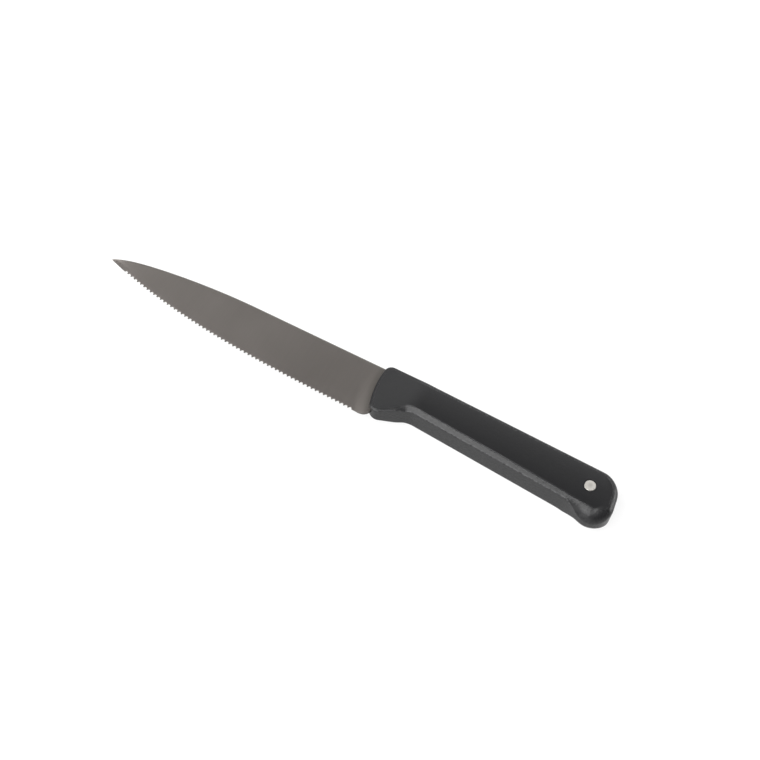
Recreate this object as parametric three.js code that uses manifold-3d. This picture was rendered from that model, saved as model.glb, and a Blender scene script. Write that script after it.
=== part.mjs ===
// Serrated utility knife, lying on its side: a coated steel blade whose tang runs the whole length of
// the handle, a hard moulded core round the tang, a softer rim moulded round the core, and a two-piece
// rivet near the butt. Millimetres. The tip points along -X, the cutting edge along -Y, +Z is up.
// While it is built, X is measured from the handle's front, Y from the handle's back edge (the spine)
// and Z from the middle of the handle's thickness; the finished group is moved onto the table.

import * as THREE from 'three';
import { LoftGeometry } from 'three/addons/geometries/LoftGeometry.js';
import { mergeVertices } from 'three/addons/utils/BufferGeometryUtils.js';
import Module from 'manifold-3d';

const wasm = await Module();
wasm.setup();

// Blade
const BLADE_LENGTH = 126.5; // tip to the handle's front
const BLADE_SPINE_Y = -0.15; // the blade's back edge beside the handle's spine
const BLADE_HEIGHT = 23.55; // back edge to cutting edge at the heel
const BLADE_THICKNESS = 1.6; // unground steel: heel strip and tang
const SPINE_SLOPE = 0.0205; // fall of the back edge towards the tip
const SPINE_BEND_LENGTH = 66; // tip end of the back edge that curves down
const SPINE_BEND_DROP = 6.9; // steady part of that curve
const SPINE_TIP_DROP = 1.85; // extra drop in the last centimetre
const SPINE_TIP_POWER = 12; // how late that extra drop comes
const EDGE_BEND_LENGTH = 106; // tip end of the cutting edge that curves up
const EDGE_SQUARE_SHARE = 0.6; // share of that rise that follows a square, the rest a fourth power
const TIP_HEIGHT = 0.3; // blunt height of the very tip
const SPINE_TIP_THICKNESS = 1.0; // back edge at the tip
const SHOULDER_THICKNESS = 0.7; // steel left above the sharpened bevel
const SHARPENED_HEIGHT = 1.7; // sharpened bevel along the edge
const SHARPENED_SHARE = 0.6; // most of the blade's height that it takes at the tip
const EDGE_THICKNESS = 0.2;
const HEEL_STRIP = 3.2; // unground strip in front of the handle
const HEEL_RADIUS = 4.8;
const BLADE_INSERT = 3; // full-height steel that enters the handle

// Serration
const TOOTH_PITCH = 1.905;
const NOTCH_WIDTH = 1.48;
const NOTCH_DEPTH = 0.7;
const SERRATION_START = 8.9; // plain edge before the first notch, from the tip
const SERRATION_END = 3.6; // least plain edge after the last notch, to the handle

// Tang
const TANG_FRONT_HEIGHT = 11;
const TANG_END_HEIGHT = 8;
const TANG_Y = -8.4; // middle of the tang
const TANG_HOLE = 5; // locking holes that the core is moulded through
const TANG_HOLE_COUNT = 3;
const TANG_HOLE_SPACING = 24;
const TANG_FIRST_HOLE = 20;

// Handle, in side view
const HANDLE_LENGTH = 110.3; // to the butt's lower corner before it is rounded
const HANDLE_THICKNESS = 13.4;
const FRONT_RISE = 1.7; // the front's upper corner above the spine
const FRONT_RADIUS = 42; // bulge of the front edge
const FRONT_NOSE_DEPTH = 5; // where it bulges furthest, below the spine
const FRONT_DEPTH = 22.8; // the guard's lower corner below the spine
const FRONT_TOP_RADIUS = 3;
const GUARD_RADIUS = 4;
const FINGER_X = 18.4; // corner between guard and belly
const FINGER_DEPTH = 15;
const FINGER_RADIUS = 10;
const BELLY_TURN = 8.8; // the belly turns down this far in front of the beak's corner
const BELLY_END_DEPTH = 18.6;
const BELLY_END_RADIUS = 22;
const BEAK_LENGTH = 11; // the beak's corner in front of the butt's lower one
const BEAK_DEPTH = 21.8;
const BEAK_RADIUS = 8;
const SPINE_FALL = 0.3; // of the back edge towards the butt
const BUTT_LEAN = 3.3; // the butt's upper corner in front of its lower one
const BUTT_TOP_RADIUS = 9;
const BUTT_BOTTOM_RADIUS = 9;

// Handle, in thickness
const TAPER_START = 18.2; // the front thins from here towards the blade
const TAPER_SLOPE = 0.243; // each side's fall per millimetre
const TAPER_BEND = 3; // half the length of the soft bend there
const BELLY_BEVEL = 2.1; // across the side face
const BELLY_BEVEL_DROP = 1.35; // down the wall
const FRONT_ROUNDING = 1.2;
const SPINE_ROUNDING = 1.5;
const BUTT_ROUNDING = 3;
const BEAK_ROUNDING = 4.4;
const BUTT_ROUNDNESS = 0.8; // 0 is a flat bevel, 1 a full quarter round
const BUTT_BLEND = 10; // length over which the bevel turns into the rounding

// Rivet
const RIVET_INSET = 14.1; // in front of the butt's lower corner
const RIVET_Y = -9;
const RIVET_HEAD = 4.8;
const RIVET_HEAD_THICKNESS = 1.4;
const RIVET_TUBE = 3.6;
const RIVET_POST = 2.2;
const RIVET_RECESS = 0.05; // heads sit this far below the side faces

// Fits
const MOULD_GAP = 0.3; // between the rim and the core
const BLADE_CLEARANCE = 0.3;
const RIVET_CLEARANCE = 0.15;

// Fineness
const WELD_DISTANCE = 1e-4;
const ARC_STEPS = 10;
const FRONT_STEPS = 6;
const STATION_STEP = 1.6;
const BEVEL_STEPS = 4;
const BLADE_STATIONS = 44;
const TIP_CROWDING = 1.5; // above 1, the blade's stations crowd towards the tip
const HEEL_LEAN_POWER = 4; // how near the heel the stations start to lean
const EDGE_DIVISIONS = 900;
const ROUND_STEPS = 40;
const NOTCH_STEPS = 14;

const HALF_THICKNESS = HANDLE_THICKNESS / 2;
const EDGE_Y = BLADE_SPINE_Y - BLADE_HEIGHT;
const HEEL_X = frontX(EDGE_Y); // the heel's rounding ends in line with the handle's front edge
const BEAK_X = HANDLE_LENGTH - BEAK_LENGTH;
const BELLY_END_X = BEAK_X - BELLY_TURN;
const BUTT_TOP_X = HANDLE_LENGTH - BUTT_LEAN;
const BUTT_START_X = BUTT_TOP_X - BUTT_TOP_RADIUS; // where the back edge turns into the butt
const RIVET_X = HANDLE_LENGTH - RIVET_INSET;
const TOOL_MARGIN = 2; // cutters reach this far past what they cut

const { clamp, lerp, smoothstep } = THREE.MathUtils;

// Solids

// A closed solid from a geometry: shared corners welded, collapsed triangles left out.
function solidOf(geometry) {
  const bare = new THREE.BufferGeometry();
  bare.setAttribute('position', geometry.getAttribute('position').clone());
  if (geometry.index) bare.setIndex(geometry.index.clone());
  const welded = mergeVertices(bare, WELD_DISTANCE);
  const triangles = [];
  for (let i = 0; i < welded.index.count; i += 3) {
    const [a, b, c] = [0, 1, 2].map((corner) => welded.index.getX(i + corner));
    if (a !== b && b !== c && c !== a) triangles.push(a, b, c);
  }
  return new wasm.Manifold(new wasm.Mesh({
    numProp: 3,
    vertProperties: new Float32Array(welded.getAttribute('position').array),
    triVerts: new Uint32Array(triangles),
  }));
}

function geometryOf(solid) {
  const mesh = solid.getMesh();
  const geometry = new THREE.BufferGeometry();
  geometry.setAttribute('position', new THREE.BufferAttribute(mesh.vertProperties, 3));
  geometry.setIndex(new THREE.BufferAttribute(mesh.triVerts, 1));
  geometry.computeVertexNormals();
  return geometry;
}

// A plate with this outline, its thickness centred on Z = 0.
function plate(shape, thickness) {
  const geometry = new THREE.ExtrudeGeometry(shape, {
    depth: thickness,
    bevelEnabled: false,
    curveSegments: ARC_STEPS,
  });
  return geometry.translate(0, 0, -thickness / 2);
}

// Outlines

// A closed outline through corners, each { x, y, radius }, rounded by arcs. Where two neighbouring
// arcs need more than the straight between their corners, both are made smaller.
function roundedShape(corners) {
  const points = corners.map(({ x, y }) => new THREE.Vector2(x, y));
  const turns = points.map((here, i) => {
    const toBefore = points.at(i - 1).clone().sub(here).normalize();
    const toAfter = points[(i + 1) % points.length].clone().sub(here).normalize();
    const halfAngle = Math.acos(toBefore.dot(toAfter)) / 2;
    return { here, toBefore, toAfter, halfAngle, reach: corners[i].radius / Math.tan(halfAngle) };
  });
  const shares = turns.map((turn, i) => {
    const next = turns[(i + 1) % turns.length];
    return Math.min(1, turn.here.distanceTo(next.here) / (turn.reach + next.reach));
  });
  const shape = new THREE.Shape();
  turns.forEach(({ here, toBefore, toAfter, halfAngle, reach }, i) => {
    const cut = reach * Math.min(shares.at(i - 1), shares[i]);
    const start = here.clone().addScaledVector(toBefore, cut);
    const end = here.clone().addScaledVector(toAfter, cut);
    const bisector = toBefore.clone().add(toAfter).normalize();
    const centre = here.clone().addScaledVector(bisector, cut / Math.cos(halfAngle));
    const clockwise = toBefore.cross(toAfter) > 0;
    if (i === 0) shape.moveTo(start.x, start.y);
    else shape.lineTo(start.x, start.y);
    const from = start.sub(centre).angle();
    const to = end.sub(centre).angle();
    if (cut > 0) shape.absarc(centre.x, centre.y, cut * Math.tan(halfAngle), from, to, clockwise);
  });
  return shape;
}

// X of the handle's bulging front edge at a height; 0 level with the spine.
function frontX(y) {
  return ((y + FRONT_NOSE_DEPTH) ** 2 - FRONT_NOSE_DEPTH ** 2) / (2 * FRONT_RADIUS);
}

// Corners that follow the front edge between two heights, at a distance behind it.
function frontCorners(from, to, behind) {
  return Array.from({ length: FRONT_STEPS - 1 }, (_, i) => {
    const y = lerp(from, to, (i + 1) / FRONT_STEPS);
    return { x: frontX(y) + behind, y, radius: 0 };
  });
}

// The handle's largest outline, anticlockwise from the corner between guard and belly.
function handleCorners() {
  return [
    { x: FINGER_X, y: -FINGER_DEPTH, radius: FINGER_RADIUS },
    { x: BELLY_END_X, y: -BELLY_END_DEPTH, radius: BELLY_END_RADIUS },
    { x: BEAK_X, y: -BEAK_DEPTH, radius: BEAK_RADIUS },
    { x: HANDLE_LENGTH, y: -BEAK_DEPTH, radius: BUTT_BOTTOM_RADIUS },
    { x: BUTT_TOP_X, y: -SPINE_FALL, radius: BUTT_TOP_RADIUS },
    { x: TAPER_START, y: 0, radius: HANDLE_LENGTH },
    { x: frontX(FRONT_RISE), y: FRONT_RISE, radius: FRONT_TOP_RADIUS },
    ...frontCorners(FRONT_RISE, -FRONT_DEPTH, 0),
    { x: frontX(-FRONT_DEPTH), y: -FRONT_DEPTH, radius: GUARD_RADIUS },
  ];
}

// Handle envelope

// Half thickness along the handle: level, then a soft bend into the thinning front.
function halfThickness(x) {
  const past = clamp(x - TAPER_START, -TAPER_BEND, TAPER_BEND);
  const bend = (TAPER_BEND - past) ** 2 / (4 * TAPER_BEND);
  const straight = Math.max(0, TAPER_START - TAPER_BEND - x);
  return HALF_THICKNESS - TAPER_SLOPE * (bend + straight);
}

// The edge between a side face and the outer wall: its width across the face, its drop down the wall
// and how round it is, 0 for a flat bevel and 1 for a quarter round.
function edgeForm({ at, onSpine, outward }) {
  const buttRounding = lerp(BUTT_ROUNDING, BEAK_ROUNDING, Math.max(0, -outward.y));
  const butt = new THREE.Vector3(buttRounding, buttRounding, BUTT_ROUNDNESS);
  const spine = new THREE.Vector3(SPINE_ROUNDING, SPINE_ROUNDING, 1);
  const belly = new THREE.Vector3(BELLY_BEVEL, BELLY_BEVEL_DROP, 0);
  const form = new THREE.Vector3(FRONT_ROUNDING, FRONT_ROUNDING, 1);
  form.lerp(onSpine ? spine : belly, smoothstep(at.x, 0, FINGER_X));
  form.lerp(butt, buttShare(at.x, onSpine));
  return { width: form.x, drop: form.y, round: form.z };
}

// How far the side's edge has turned into the butt's rounding, 0 to 1.
function buttShare(x, onSpine) {
  const end = onSpine ? BUTT_START_X + BUTT_BLEND : BEAK_X;
  return smoothstep(x, end - BUTT_BLEND, end);
}

// Points round the handle's outline, anticlockwise. Between the two ends the back edge and the belly
// are sampled at the same X, so that the faces between them can be built in strips.
function handleRing() {
  const outline = roundedShape(handleCorners()).getPoints(ARC_STEPS);
  const first = FINGER_X / 2;
  const last = BUTT_START_X;
  const steps = Math.ceil((last - first) / STATION_STEP);
  const stations = Array.from({ length: steps + 1 }, (_, i) => lerp(first, last, i / steps));
  const middleY = (x) => (heightAt(outline, x, true) + heightAt(outline, x, false)) / 2;
  const spineSide = (point) => point.y > middleY(first);
  const side = (x, onSpine) => ({ at: new THREE.Vector2(x, heightAt(outline, x, onSpine)), x, onSpine });
  const end = (x) => (at) => ({ at, x, onSpine: spineSide(at) });
  const butt = outline.filter((point) => point.x > last).map(end(last));
  const front = outline.filter((point) => point.x < first).map(end(first));
  const ring = [
    ...stations.map((x) => side(x, false)),
    ...butt,
    ...stations.map((x) => side(x, true)).reverse(),
    ...front,
  ];
  ring.forEach((point, i) => {
    const before = ring.at(i - 1).at;
    const after = ring[(i + 1) % ring.length].at;
    const along = after.clone().sub(before).normalize();
    point.outward = new THREE.Vector2(along.y, -along.x);
    point.middle = new THREE.Vector2(point.x, middleY(point.x));
    point.form = edgeForm(point);
  });
  return ring;
}

// Y where a closed outline crosses X, on its upper or its lower side.
function heightAt(points, x, upper) {
  const heights = [];
  points.forEach((a, i) => {
    const b = points[(i + 1) % points.length];
    if ((a.x <= x) === (b.x <= x)) return;
    heights.push(lerp(a.y, b.y, (x - a.x) / (b.x - a.x)));
  });
  return upper ? Math.max(...heights) : Math.min(...heights);
}

// A point on the upper (side 1) or lower (side -1) edge, from the side face (share 0) to the wall (1).
function edgePoint({ at, outward, form }, share, side) {
  const angle = share * Math.PI / 2;
  const inset = form.width * (1 - lerp(share, Math.sin(angle), form.round));
  const corner = at.clone().addScaledVector(outward, -inset);
  const half = halfThickness(corner.x);
  const drop = form.drop * lerp(share, 1 - Math.cos(angle), form.round) * half / HALF_THICKNESS;
  return new THREE.Vector3(corner.x, corner.y, side * (half - drop));
}

// The core before it is cut: rings from the middle of the lower face to the middle of the upper one.
function coreBody(ring) {
  const faceRing = (side) => ring.map(({ at, outward, form }) => {
    const corner = at.clone().addScaledVector(outward, -form.width - MOULD_GAP / 2);
    return new THREE.Vector3(corner.x, corner.y, side * halfThickness(corner.x));
  });
  const middleRing = (side) => ring.map(({ middle }) => (
    new THREE.Vector3(middle.x, middle.y, side * halfThickness(middle.x))
  ));
  return new LoftGeometry([middleRing(-1), faceRing(-1), faceRing(1), middleRing(1)]);
}

// The rim before it is cut: its section, bevel to bevel, carried once round the handle.
function rimBody(ring) {
  const section = (point) => {
    const inner = MOULD_GAP / 2 / (point.form.width * lerp(1, Math.PI / 2, point.form.round));
    const shares = Array.from({ length: BEVEL_STEPS + 1 }, (_, i) => lerp(inner, 1, i / BEVEL_STEPS));
    const low = shares.map((share) => edgePoint(point, share, -1)).reverse();
    const high = shares.map((share) => edgePoint(point, share, 1));
    return [...low, ...high];
  };
  return new LoftGeometry([...ring, ring[0]].map(section));
}

// Blade

function spineY(x) {
  const fromTip = x + BLADE_LENGTH;
  const bend = Math.max(0, 1 - fromTip / SPINE_BEND_LENGTH);
  const drop = SPINE_BEND_DROP * bend ** 2 + SPINE_TIP_DROP * bend ** SPINE_TIP_POWER;
  return BLADE_SPINE_Y + SPINE_SLOPE * x - drop;
}

// The cutting edge before it is notched, from heel to tip.
class EdgeCurve extends THREE.Curve {
  getPoint(t, target = new THREE.Vector3()) {
    const x = lerp(0, -BLADE_LENGTH, t);
    return target.set(x, edgeY(x), 0);
  }
}

// The edge rises to meet the back edge at the tip, mostly by the square of the way along the bend.
function edgeY(x) {
  const rise = spineY(-BLADE_LENGTH) - TIP_HEIGHT - EDGE_Y;
  const bend = Math.max(0, 1 - (x + BLADE_LENGTH) / EDGE_BEND_LENGTH);
  return EDGE_Y + rise * lerp(bend ** 4, bend ** 2, EDGE_SQUARE_SHARE);
}

// The ground part of the blade, a wedge from the back edge to the shoulder and a finer one below it.
// Its heel end leans with the handle's front and reaches into the unground strip.
function groundBlade() {
  const overlap = HEEL_STRIP / 4;
  const sections = [];
  for (let i = 0; i <= BLADE_STATIONS; i += 1) {
    const along = (i / BLADE_STATIONS) ** TIP_CROWDING;
    const lean = (y) => along ** HEEL_LEAN_POWER * frontX(y);
    const x = lerp(-BLADE_LENGTH, -HEEL_STRIP + overlap, along);
    const top = spineY(x);
    const low = edgeY(x);
    const shoulder = low + Math.min(SHARPENED_HEIGHT, (top - low) * SHARPENED_SHARE);
    const back = lerp(SPINE_TIP_THICKNESS, BLADE_THICKNESS, along) / 2;
    const corner = (y, z) => new THREE.Vector3(x + lean(y), y, z);
    sections.push([
      corner(top, -back),
      corner(top, back),
      corner(shoulder, SHOULDER_THICKNESS / 2),
      corner(low, EDGE_THICKNESS / 2),
      corner(low, -EDGE_THICKNESS / 2),
      corner(shoulder, -SHOULDER_THICKNESS / 2),
    ]);
  }
  return new LoftGeometry(sections, { capStart: true, capEnd: true });
}

// Unground steel: the strip in front of the handle, the stretch inside its front, and the tang.
// margin grows the outline and shrinks the locking holes, to make the space that the core leaves.
function tangShape(margin) {
  const rear = (y) => frontX(y) + BLADE_INSERT + margin;
  const tangTop = TANG_Y + TANG_FRONT_HEIGHT / 2 + margin;
  const tangLow = TANG_Y - TANG_FRONT_HEIGHT / 2 - margin;
  const endX = RIVET_X + TANG_END_HEIGHT / 2 + margin;
  const endTop = RIVET_Y + TANG_END_HEIGHT / 2 + margin;
  const endLow = RIVET_Y - TANG_END_HEIGHT / 2 - margin;
  const top = spineY(0) + margin;
  const low = EDGE_Y - margin;
  const shape = roundedShape([
    { x: frontX(top) - HEEL_STRIP - margin, y: top, radius: 0 },
    ...frontCorners(top, low, -HEEL_STRIP - margin),
    { x: frontX(low) - HEEL_STRIP - margin, y: low, radius: 0 },
    { x: HEEL_X + margin, y: low, radius: 0 },
    { x: HEEL_X + margin, y: EDGE_Y + HEEL_RADIUS, radius: 0 },
    { x: rear(tangLow), y: tangLow, radius: 0 },
    { x: endX, y: endLow, radius: TANG_END_HEIGHT / 2 },
    { x: endX, y: endTop, radius: TANG_END_HEIGHT / 2 },
    { x: rear(tangTop), y: tangTop, radius: 0 },
    { x: rear(top), y: top, radius: 0 },
  ]);
  for (let i = 0; i < TANG_HOLE_COUNT; i += 1) {
    const hole = new THREE.Path();
    const x = TANG_FIRST_HOLE + i * TANG_HOLE_SPACING;
    hole.absarc(x, TANG_Y, TANG_HOLE / 2 - margin, 0, Math.PI * 2, true);
    shape.holes.push(hole);
  }
  return shape;
}

// What the heel's rounding takes off the steel's square corner, or off the space left for it.
function heelCutter(margin) {
  const far = HEEL_X + margin + TOOL_MARGIN;
  const top = EDGE_Y + HEEL_RADIUS;
  const shape = new THREE.Shape();
  shape.moveTo(HEEL_X - HEEL_RADIUS, EDGE_Y - TOOL_MARGIN);
  shape.absarc(HEEL_X - HEEL_RADIUS, top, HEEL_RADIUS + margin, -Math.PI / 2, 0, false);
  shape.lineTo(far, top);
  shape.lineTo(far, EDGE_Y - TOOL_MARGIN);
  return plate(shape, BLADE_THICKNESS + TOOL_MARGIN);
}

// One round cutter for each notch, standing across the edge.
function notches() {
  const edge = new EdgeCurve();
  edge.arcLengthDivisions = EDGE_DIVISIONS;
  const length = edge.getLength();
  const radius = (NOTCH_WIDTH ** 2 / 4 + NOTCH_DEPTH ** 2) / (2 * NOTCH_DEPTH);
  const toothCount = Math.floor((length - SERRATION_START - SERRATION_END) / TOOTH_PITCH);
  return Array.from({ length: toothCount + 1 }, (_, i) => {
    const share = 1 - (SERRATION_START + i * TOOTH_PITCH) / length;
    const along = edge.getTangentAt(share);
    const outward = new THREE.Vector3(-along.y, along.x, 0);
    const centre = edge.getPointAt(share).addScaledVector(outward, radius - NOTCH_DEPTH);
    const cutter = new THREE.CylinderGeometry(radius, radius, BLADE_THICKNESS, NOTCH_STEPS);
    return cutter.rotateX(Math.PI / 2).translate(centre.x, centre.y, 0);
  });
}

function makeBlade() {
  const steel = solidOf(groundBlade()).add(solidOf(plate(tangShape(0), BLADE_THICKNESS)));
  const pinHole = new THREE.CylinderGeometry(
    RIVET_TUBE / 2 + RIVET_CLEARANCE,
    RIVET_TUBE / 2 + RIVET_CLEARANCE,
    BLADE_THICKNESS + TOOL_MARGIN,
    ROUND_STEPS,
  );
  pinHole.rotateX(Math.PI / 2).translate(RIVET_X, RIVET_Y, 0);
  const cutters = [heelCutter(0), pinHole, ...notches()];
  return cutters.reduce((blade, cutter) => blade.subtract(solidOf(cutter)), steel);
}

// Rivet

// A round piece about the rivet's axis from points { r, z }, first and last on the axis.
function turned(profile) {
  const geometry = new THREE.LatheGeometry(profile.map(({ r, z }) => new THREE.Vector2(r, z)), ROUND_STEPS);
  return geometry.rotateX(Math.PI / 2).translate(RIVET_X, RIVET_Y, 0);
}

const RIVET_FACE = HALF_THICKNESS - RIVET_RECESS;
const RIVET_SHOULDER = RIVET_FACE - RIVET_HEAD_THICKNESS;

// The tube half: lower head and a bore that the post slides into.
function rivetSocket() {
  const bore = RIVET_POST / 2 + RIVET_CLEARANCE;
  return turned([
    { r: 0, z: -RIVET_FACE },
    { r: RIVET_HEAD / 2, z: -RIVET_FACE },
    { r: RIVET_HEAD / 2, z: -RIVET_SHOULDER },
    { r: RIVET_TUBE / 2, z: -RIVET_SHOULDER },
    { r: RIVET_TUBE / 2, z: RIVET_SHOULDER - RIVET_CLEARANCE },
    { r: bore, z: RIVET_SHOULDER - RIVET_CLEARANCE },
    { r: bore, z: -RIVET_SHOULDER },
    { r: 0, z: -RIVET_SHOULDER },
  ]);
}

// The post half: upper head and a pin.
function rivetPost() {
  return turned([
    { r: 0, z: -RIVET_SHOULDER + RIVET_CLEARANCE },
    { r: RIVET_POST / 2, z: -RIVET_SHOULDER + RIVET_CLEARANCE },
    { r: RIVET_POST / 2, z: RIVET_SHOULDER },
    { r: RIVET_HEAD / 2, z: RIVET_SHOULDER },
    { r: RIVET_HEAD / 2, z: RIVET_FACE },
    { r: 0, z: RIVET_FACE },
  ]);
}

// The stepped hole that the rivet leaves in the core.
function rivetHole() {
  const head = RIVET_HEAD / 2 + RIVET_CLEARANCE;
  const tube = RIVET_TUBE / 2 + RIVET_CLEARANCE;
  const seat = RIVET_SHOULDER - RIVET_CLEARANCE;
  const past = HALF_THICKNESS + TOOL_MARGIN;
  return turned([
    { r: 0, z: -past },
    { r: head, z: -past },
    { r: head, z: -seat },
    { r: tube, z: -seat },
    { r: tube, z: seat },
    { r: head, z: seat },
    { r: head, z: past },
    { r: 0, z: past },
  ]);
}

// Handle pieces

function makeHandle() {
  const ring = handleRing();
  const slot = plate(tangShape(BLADE_CLEARANCE), BLADE_THICKNESS + 2 * BLADE_CLEARANCE);
  const bladeSpace = solidOf(slot).subtract(solidOf(heelCutter(BLADE_CLEARANCE)));
  return {
    core: solidOf(coreBody(ring)).subtract(bladeSpace).subtract(solidOf(rivetHole())),
    rim: solidOf(rimBody(ring)).subtract(bladeSpace),
  };
}

// Assembly

const coatedSteel = new THREE.MeshStandardMaterial({ color: 0x6f6c67, roughness: 0.45, metalness: 0.7 });
const corePlastic = new THREE.MeshStandardMaterial({ color: 0x2e2e2f, roughness: 0.55, metalness: 0 });
const rimElastomer = new THREE.MeshStandardMaterial({ color: 0x38383a, roughness: 0.7, metalness: 0 });
const rivetSteel = new THREE.MeshStandardMaterial({ color: 0xb7b4ae, roughness: 0.4, metalness: 1 });

const knife = new THREE.Group();

function addPiece(name, geometry, material) {
  const mesh = new THREE.Mesh(geometry, material);
  mesh.name = name;
  knife.add(mesh);
}

const handle = makeHandle();
addPiece('blade', geometryOf(makeBlade()), coatedSteel);
addPiece('handle_core', geometryOf(handle.core), corePlastic);
addPiece('grip_rim', geometryOf(handle.rim), rimElastomer);
addPiece('rivet_socket', geometryOf(solidOf(rivetSocket())), rivetSteel);
addPiece('rivet_post', geometryOf(solidOf(rivetPost())), rivetSteel);

// The knife lies on one side face: the table is Z = 0 and the origin is under the middle of its box.
const box = new THREE.Box3().setFromObject(knife);
const centre = box.getCenter(new THREE.Vector3());
knife.position.set(-centre.x, -centre.y, -box.min.z);

export default knife;
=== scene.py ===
"""Looks of a serrated utility knife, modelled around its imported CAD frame.

The knife lies on its side: the tip points along -X, the cutting edge along -Y, and +Z is up. Each piece
is modelled in millimetres, with X measured from the handle's front, Y from the handle's back edge (the
spine) and Z from the middle of its thickness, and then settled into the frame, which is in metres.
"""

import logging
import math
from contextlib import contextmanager
from dataclasses import dataclass, field
from enum import Enum
from typing import Any, Callable, Iterator, Sequence

import bmesh
import bpy
from mathutils import Matrix, Vector


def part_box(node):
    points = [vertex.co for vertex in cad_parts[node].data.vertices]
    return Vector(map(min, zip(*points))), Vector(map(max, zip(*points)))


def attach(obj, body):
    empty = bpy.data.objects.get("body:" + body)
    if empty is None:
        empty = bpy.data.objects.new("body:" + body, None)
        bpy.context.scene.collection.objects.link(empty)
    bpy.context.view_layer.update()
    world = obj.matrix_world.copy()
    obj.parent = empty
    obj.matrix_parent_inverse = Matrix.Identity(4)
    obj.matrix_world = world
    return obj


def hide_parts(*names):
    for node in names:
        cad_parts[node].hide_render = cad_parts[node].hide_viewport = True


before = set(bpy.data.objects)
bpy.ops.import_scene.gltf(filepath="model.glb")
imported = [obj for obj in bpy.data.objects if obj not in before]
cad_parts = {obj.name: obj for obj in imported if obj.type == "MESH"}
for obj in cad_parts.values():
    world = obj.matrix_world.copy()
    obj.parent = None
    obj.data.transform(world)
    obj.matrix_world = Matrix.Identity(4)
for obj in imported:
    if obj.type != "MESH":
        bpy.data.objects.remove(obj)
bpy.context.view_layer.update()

MM = 0.001
BODY = "root"
STATION = "station"
# share of edge wear and painted edge highlight at each point
WEAR_AND_HIGHLIGHT = "wear_and_highlight"
# share of painted shade on the steel next to the handle, at each point
HANDLE_SHADE = "handle_shade"
UP = Vector((0, 0, 1))
FIT = 0.06  # between moulded pieces and the steel in them, in millimetres
MERGE = 1e-4  # points nearer than this are one, in millimetres
MIRROR_MERGE = 1e-3  # the same where two halves meet
TINY = 1e-9  # keeps a division by nothing from failing
SMOOTH_ANGLE = math.radians(35)  # sharper edges are shaded as edges
WAVE_TURN = 20  # a wave texture's turn at scale 1, in radians per unit of length
PANEL_WATTS = 4  # of a square metre of light panel with a radiance of 1

log = logging.getLogger("knife")


class Slot(Enum):
    """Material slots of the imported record."""

    BLADE = "coated_steel"
    CORE = "core_plastic"
    RIM = "rim_elastomer"
    RIVET = "rivet_steel"


class Side(Enum):
    """The two faces of the knife as it lies."""

    UPPER = 1
    LOWER = -1


def lerp(a: float, b: float, share: float) -> float:
    """Returns the value at a share of the way from a to b."""
    return a + (b - a) * share


def clamp(value: float, low: float = 0.0, high: float = 1.0) -> float:
    """Returns the value held between two limits."""
    return max(low, min(high, value))


def smoothstep(value: float, low: float, high: float) -> float:
    """Returns a soft step from 0 at low to 1 at high."""
    share = clamp((value - low) / (high - low))
    return share * share * (3 - 2 * share)


def soft_corner(before: Vector, corner: Vector, after: Vector, reach: float, steps: int) -> list[Vector]:
    """Rounds a corner of a path.

    Args:
        before: A point on the path's leg that leads to the corner.
        corner: The sharp corner.
        after: A point on the leg that leaves it.
        reach: How far along both legs the rounding goes.
        steps: Pieces of the rounding.

    Returns:
        The rounding's points, from one leg to the other.
    """
    start = corner + (before - corner).normalized() * reach
    end = corner + (after - corner).normalized() * reach
    shares = [i / steps for i in range(steps + 1)]
    return [start.lerp(corner, t).lerp(corner.lerp(end, t), t) for t in shares]


# Modelling


@contextmanager
def editing(piece: bpy.types.Object) -> Iterator[None]:
    """Holds a piece in edit mode."""
    bpy.context.view_layer.objects.active = piece
    bpy.ops.object.mode_set(mode="EDIT")
    yield
    bpy.ops.object.mode_set(mode="OBJECT")


def name_new(name: str) -> bpy.types.Object:
    """Names the primitive that was just added, and returns it."""
    piece = bpy.context.view_layer.objects.active
    piece.name = name
    piece.data.name = name
    return piece


def number_points(piece: bpy.types.Object, number: Callable[[bmesh.types.BMVert], int]) -> None:
    """Numbers a mesh's points, so that what is extruded from a point is known by the same number.

    Args:
        piece: The object, in edit mode.
        number: Gives a point's number.
    """
    mesh = bmesh.from_edit_mesh(piece.data)
    layer = mesh.verts.layers.int.new(STATION)
    mesh.verts.ensure_lookup_table()
    for vert in mesh.verts:
        vert[layer] = number(vert)
    bmesh.update_edit_mesh(piece.data)


def number_grid(piece: bpy.types.Object, columns: int, rows: int) -> None:
    """Numbers the points of a new grid, one unit wide, row by row."""
    number_points(piece, lambda vert: round((vert.co.y + 0.5) * rows) * (columns + 1)
                  + round((vert.co.x + 0.5) * columns))


def place_selected(piece: bpy.types.Object, place: Callable[[int], Vector]) -> None:
    """Moves each selected point to its place.

    Args:
        piece: The object, in edit mode, with numbered points.
        place: Gives the place of the point with a number.
    """
    mesh = bmesh.from_edit_mesh(piece.data)
    layer = mesh.verts.layers.int[STATION]
    for vert in mesh.verts:
        if vert.select:
            vert.co = place(vert[layer])
    bmesh.update_edit_mesh(piece.data)


def select_where(piece: bpy.types.Object, kind: str, test: Callable[[Any, Any], bool]) -> None:
    """Selects points, edges or faces by a test, and nothing else.

    Args:
        piece: The object, in edit mode, with numbered points.
        kind: VERT, EDGE or FACE.
        test: Is given an element and the layer of its points' numbers.
    """
    bpy.ops.mesh.select_mode(type=kind)
    bpy.ops.mesh.select_all(action="DESELECT")
    mesh = bmesh.from_edit_mesh(piece.data)
    layer = mesh.verts.layers.int.get(STATION)
    elements = {"VERT": mesh.verts, "EDGE": mesh.edges, "FACE": mesh.faces}[kind]
    for element in elements:
        if test(element, layer):
            element.select_set(True)
    mesh.select_flush_mode()
    bmesh.update_edit_mesh(piece.data)


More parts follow.
